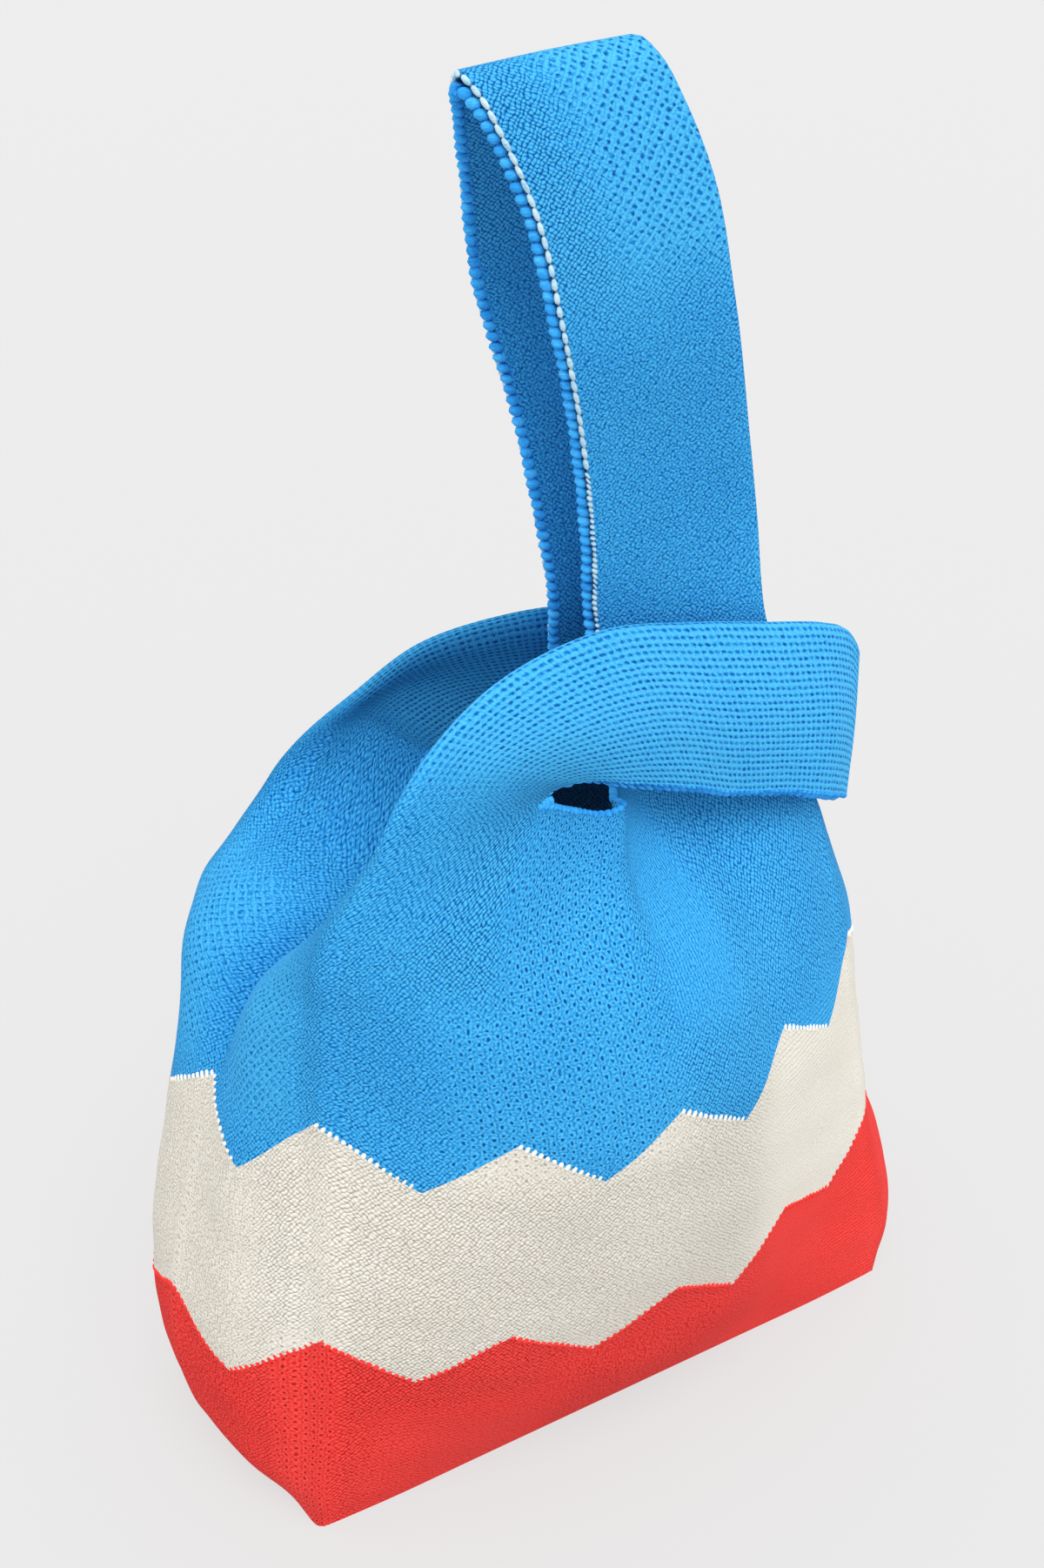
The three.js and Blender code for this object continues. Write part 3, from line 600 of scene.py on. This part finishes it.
def open_edge(u, into, v, side, beyond):
    # Line along the knit's open edge at column u, in the middle of the ply and a distance
    # beyond the edge
    u, v = np.full(len(v), float(u)), np.asarray(v, float)
    away = knit_place(u, v, side) - knit_place(u + into, v, side)
    away /= np.linalg.norm(away, axis=1)[:, None]
    inward = -normal(fabric, u + into * 0.7, v, side)
    return knit_place(u, v, side) + edge_depth * inward + beyond * away, away, inward


def zigzag_teeth(bm, course, starts, beyond, pitch, size):
    # Ends of the stitches that stand over a colour change, on the slopes that start there
    for side in (-1, 1):
        for start in starts:
            u = np.arange(start, start + zigzag / 2 + 0.1, 1.0)
            v = course(u) + beyond
            along = knit_place(u + 0.5, course(u + 0.5), side) - knit_place(u, course(u), side)
            inward = -normal(fabric, u, v, side)
            away = np.cross(along, inward) * side
            away /= np.linalg.norm(away, axis=1)[:, None]
            bead_row(bm, knit_place(u, v, side), away, inward, pitch, size, ragged=0.25)


def both_sides(first, second):
    return [np.concatenate([a, b[::-1]]) for a, b in zip(first, second)]


def finish_edge(bm, name, material):
    stitches = bm.loops.layers.uv["stitches"]
    for face in bm.faces:
        face.smooth = True
        for loop in face.loops:
            x, y, z = loop.vert.co * 500
            loop[stitches].uv = (x + 0.7 * y, z + 0.3 * y)
    mesh = bpy.data.meshes.new(name)
    bm.to_mesh(mesh)
    bm.free()
    piece = bpy.data.objects.new(name, mesh)
    bpy.context.collection.objects.link(piece)
    mesh.materials.append(material)
    return piece


# Its tones run from painted shade in the gaps to painted highlight on the loops' tops
red_knit = knit_material("red_knit", [
    (0.0, (0.56, 0.010, 0.010, 1)), (0.5, (0.90, 0.034, 0.030, 1)), (1.0, (1.0, 0.088, 0.078, 1))])
# Heights of the colour changes' peaks and valleys, and the width of one zigzag
red_peak, red_valley, blue_peak, blue_valley, zigzag = 86, 69, 166, 149, 60


def wave(u):
    return np.abs((u / zigzag) % 1 - 0.5) * 2


def red_top(u):
    return red_valley + (red_peak - red_valley) * wave(u)


def blue_foot(u):
    return blue_valley + (blue_peak - blue_valley) * wave(u)


around = (-gusset_half, panel_width + gusset_half)
falling = range(around[0], around[1], zigzag)
rising = range(around[0] + zigzag // 2, around[1], zigzag)
foot = new_knit()
for side in (-1, 1):
    knit_sheet(foot, around, 0, red_top, 40, side)
red_foot = finish_knit(foot, "red_foot", red_knit, crease_rounds=1)
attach(red_foot, "bag")
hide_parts("front_red", "back_red", "left_gusset_red", "right_gusset_red")

# Red teeth stand up into the cream, rounder on the slopes that fall to the right
bm = new_knit()
tooth_pitch = 2.5
zigzag_teeth(bm, red_top, falling, 0.3, tooth_pitch, (2.1, 2.2, 1.0))
zigzag_teeth(bm, red_top, rising, 0.3, tooth_pitch, (1.3, 2.3, 0.9))
red_teeth = finish_edge(bm, "red_teeth", edge_material("red_edge", [
    (0.0, (0.56, 0.012, 0.012, 1)), (0.5, (0.86, 0.042, 0.036, 1)), (1.0, (0.97, 0.10, 0.09, 1))]))
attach(red_teeth, "bag")

# The flat base: a red rectangle linked to the foot of the walls all round
base_size, base_top = (236, 106), 2.4
bm = new_knit()
bmesh.ops.create_grid(bm, x_segments=48, y_segments=22, size=0.5)
stitches = bm.loops.layers.uv["stitches"]
feel_layer, contrast = bm.verts.layers.float_color["feel"], 0.8
for vert in bm.verts:
    vert.co = (vert.co.x * base_size[0] / 1000, vert.co.y * base_size[1] / 1000, base_top / 1000)
    vert[feel_layer] = (0, 0, 0, contrast)
for face in bm.faces:
    for loop in face.loops:
        loop[stitches].uv = (loop.vert.co.x * 1000 / stitch, loop.vert.co.y * 1000 / row_height)
red_base = finish_knit(bm, "red_base", red_knit, thickness=2.3)
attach(red_base, "bag")
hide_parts("base_panel")

# Cream middle
# The middle of the tube, knitted on in cream cotton. Both colour changes run in zigzags with a
# peak for each strap's width.
# Its tones run from painted shade in the gaps to painted highlight on the loops' tops
cream_knit = knit_material("cream_knit", [
    (0.0, (0.56, 0.50, 0.40, 1)), (0.5, (0.81, 0.765, 0.66, 1)), (1.0, (0.96, 0.93, 0.86, 1))])
middle = new_knit()
for side in (-1, 1):
    knit_sheet(middle, around, red_top, blue_foot, 40, side)
cream_middle = finish_knit(middle, "cream_middle", cream_knit, crease_rounds=1)
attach(cream_middle, "bag")
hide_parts("front_cream", "back_cream", "left_gusset_cream",
            "right_gusset_cream")

# Fine cream teeth stand over the blue on the slopes that fall to the right
bm = new_knit()
zigzag_teeth(bm, blue_foot, falling, 0.5, tooth_pitch, (1.5, 2.4, 1.0))
cream_teeth = finish_edge(bm, "cream_teeth", edge_material("cream_edge", [
    (0.0, (0.64, 0.60, 0.51, 1)), (0.5, (0.82, 0.79, 0.71, 1)), (1.0, (0.93, 0.92, 0.87, 1))]))
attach(cream_teeth, "bag")

# Blue top
# The top of the tube in blue cotton. Above the split at their creases the gussets part into a
# front and a back half, which fold behind the handles.
# Its tones run from painted shade in the gaps to painted highlight on the loops' tops
blue_knit = knit_material("blue_knit", [
    (0.0, (0.004, 0.09, 0.38, 1)), (0.5, (0.020, 0.31, 0.79, 1)), (1.0, (0.085, 0.56, 0.98, 1))])
top = new_knit()
for side in (-1, 1):
    knit_sheet(top, around, blue_foot, gusset_split, 24, side)
    knit_sheet(top, around, gusset_split, neckline, 30, side)
blue_top = finish_knit(top, "blue_top", blue_knit)
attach(blue_top, "bag")
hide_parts("front_blue", "back_blue", "left_gusset_blue", "right_gusset_blue")

# Its open edges: a rounded rim of cast-off loops along both necklines, and scallops along the
# gusset halves
blue_edge = edge_material("blue_edge", [
    (0.0, (0.008, 0.15, 0.52, 1)), (0.5, (0.035, 0.36, 0.84, 1)), (1.0, (0.11, 0.58, 1.0, 1))])
scallop_pitch, scallop = 3.6, (3.9, 4.4, 4.0)
bm = new_knit()
for side in (-1, 1):
    u = np.arange(strap, panel_width - strap + 0.1, 1.0)
    v = np.full_like(u, neckline)
    away = knit_place(u, v, side) - knit_place(u, v - 1, side)
    away /= np.linalg.norm(away, axis=1)[:, None]
    inward = -normal(fabric, u, v - 1, side)
    rim = knit_place(u, v, side) + edge_depth * inward + 0.5 * away
    bead_row(bm, rim, away, inward, 2.3, (3.1, 2.8, 3.0))
    v = np.arange(gusset_split, neckline + 0.1, 1.0)
    for u, into in ((-gusset_half, 1), (panel_width + gusset_half, -1)):
        bead_row(bm, *open_edge(u, into, v, side, 0.9), scallop_pitch, scallop)
# Stitches gathered where the hole under the short handle ends at the left
gathered = 12
corner, above, below = knit_place(np.array([strap, strap, strap + gathered]),
                                  np.array([neckline, neckline + gathered, neckline]), -1)
rise = (above - below) / np.linalg.norm(above - below)
inward = -normal(fabric, np.array([float(strap)]), np.array([neckline - 1.0]), -1)
line = np.linspace(corner, (above + below) / 2, 7)
bead_row(bm, line + inward, np.tile(rise, (7, 1)), np.tile(inward, (7, 1)), 1.6, (2.6, 4.8, 2.5),
         ragged=0.2)
blue_top_edges = finish_edge(bm, "blue_top_edges", blue_edge)
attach(blue_top_edges, "bag")
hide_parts("front_neckline_binding", "back_neckline_binding")

# Short handle
# The left strap of double knit: its outer ply and the facing ply folded behind it, which grow
# out of the blue top, meet at the right end, and hold the long handle between their legs.
bm = new_knit()
for side in (-1, 1):
    knit_sheet(bm, (-strap, strap), neckline, short_top, 104, side)
short_handle = finish_knit(bm, "short_handle", blue_knit)
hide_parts(*[f"short_handle_{s}_{ply}" for s in ("front", "back")
                            for ply in ("outer", "facing")], "short_handle_end_seam")
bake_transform(short_handle)

# Its open edges: small teeth along the outer ply, rounder scallops along the facing ply
bm = new_knit()
v = np.arange(neckline, short_top + 0.1, 1.0)
bead_row(bm, *both_sides(*[open_edge(strap, -1, v, side, 0.3) for side in (-1, 1)]), 2.4,
         (2.5, 2.6, 2.5), ragged=0.18)
bead_row(bm, *both_sides(*[open_edge(-strap, 1, v, side, 0.5) for side in (-1, 1)]),
         scallop_pitch, scallop)
short_handle_edge = finish_edge(bm, "short_handle_edge", blue_edge)
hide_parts("short_handle_front_binding", "short_handle_back_binding")
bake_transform(short_handle_edge)

# Long handle
# The right strap of double knit, passed through the short handle: it rises from the right
# shoulder, leans to the left and turns over at the top.
bm = new_knit()
for side in (-1, 1):
    knit_sheet(bm, (panel_width - strap, panel_width + strap), neckline, long_top, 108, side)
long_handle = finish_knit(bm, "long_handle", blue_knit)
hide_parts(*[f"long_handle_{s}_{ply}" for s in ("front", "back")
                           for ply in ("outer", "facing")])
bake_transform(long_handle)

# Its open edge: a chain of long pale loops on the outer ply, which turns to small matted knots
# near the foot, and blue scallops that stand out beyond it on the facing ply
bm = new_knit()
matted_top = 352
upper = np.arange(matted_top, long_top + 0.1, 1.0)
lower = np.arange(neckline, matted_top + 0.1, 1.0)
edge_column = panel_width - strap
bead_row(bm, *both_sides(*[open_edge(edge_column, 1, upper, side, 0.3) for side in (-1, 1)]), 4.1,
         (4.4, 1.9, 2.2))
for side in (-1, 1):
    bead_row(bm, *open_edge(edge_column, 1, lower, side, 0.2), 2.1, (2.0, 1.7, 2.0), ragged=0.4)
pale_edge = edge_material("pale_edge", [
    (0.0, (0.09, 0.33, 0.62, 1)), (0.4, (0.38, 0.60, 0.72, 1)), (1.0, (0.72, 0.82, 0.82, 1))])
long_handle_chain = finish_edge(bm, "long_handle_chain", pale_edge)
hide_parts("long_handle_front_binding", "long_handle_back_binding")
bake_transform(long_handle_chain)

bm = new_knit()
v = np.arange(neckline, long_top + 0.1, 1.0)
bead_row(bm, *both_sides(*[open_edge(panel_width + strap, -1, v, side, 1.0) for side in (-1, 1)]),
         scallop_pitch, scallop)
long_handle_scallops = finish_edge(bm, "long_handle_scallops", blue_edge)
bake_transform(long_handle_scallops)

# Floor and light
# A plain pale studio floor, with an even sky and one wide soft lamp from the front left.
floor_mesh = bpy.data.meshes.new("floor")
bm = bmesh.new()
bmesh.ops.create_grid(bm, x_segments=1, y_segments=1, size=8.0)
bm.to_mesh(floor_mesh)
bm.free()
floor = bpy.data.objects.new("floor", floor_mesh)
bpy.context.collection.objects.link(floor)
floor_material = bpy.data.materials.new("studio_floor")
floor_material.use_nodes = True
floor_surface = floor_material.node_tree.nodes["Principled BSDF"]
floor_surface.inputs["Base Color"].default_value = (0.10, 0.10, 0.10, 1)
floor_surface.inputs["Emission Color"].default_value = (1, 1, 1, 1)
floor_surface.inputs["Emission Strength"].default_value = 0.666
floor_surface.inputs["Roughness"].default_value = 0.9
floor_surface.inputs["Specular IOR Level"].default_value = 0.1
floor_mesh.materials.append(floor_material)

world = bpy.data.worlds.new("studio")
world.use_nodes = True
sky = world.node_tree.nodes["Background"]
sky.inputs["Color"].default_value = (1, 1, 1, 1)
# The sky lights the bag at full strength, and is seen as bright as the floor
sky_light, sky_seen = 1.2, 0.838
straight = Shade(world.node_tree).node("ShaderNodeLightPath")
(sky_light - straight * (sky_light - sky_seen)).feed(sky.inputs["Strength"])
bpy.context.scene.world = world
lamp_data = bpy.data.lights.new("key", "SUN")
lamp_data.energy = 1.6
lamp_data.angle = math.radians(35)
lamp = bpy.data.objects.new("key", lamp_data)
lamp.rotation_euler = Vector((0.15, 0.5, -1.0)).to_track_quat("-Z", "Y").to_euler()
bpy.context.collection.objects.link(lamp)

bpy.context.scene.view_settings.view_transform = "Standard"
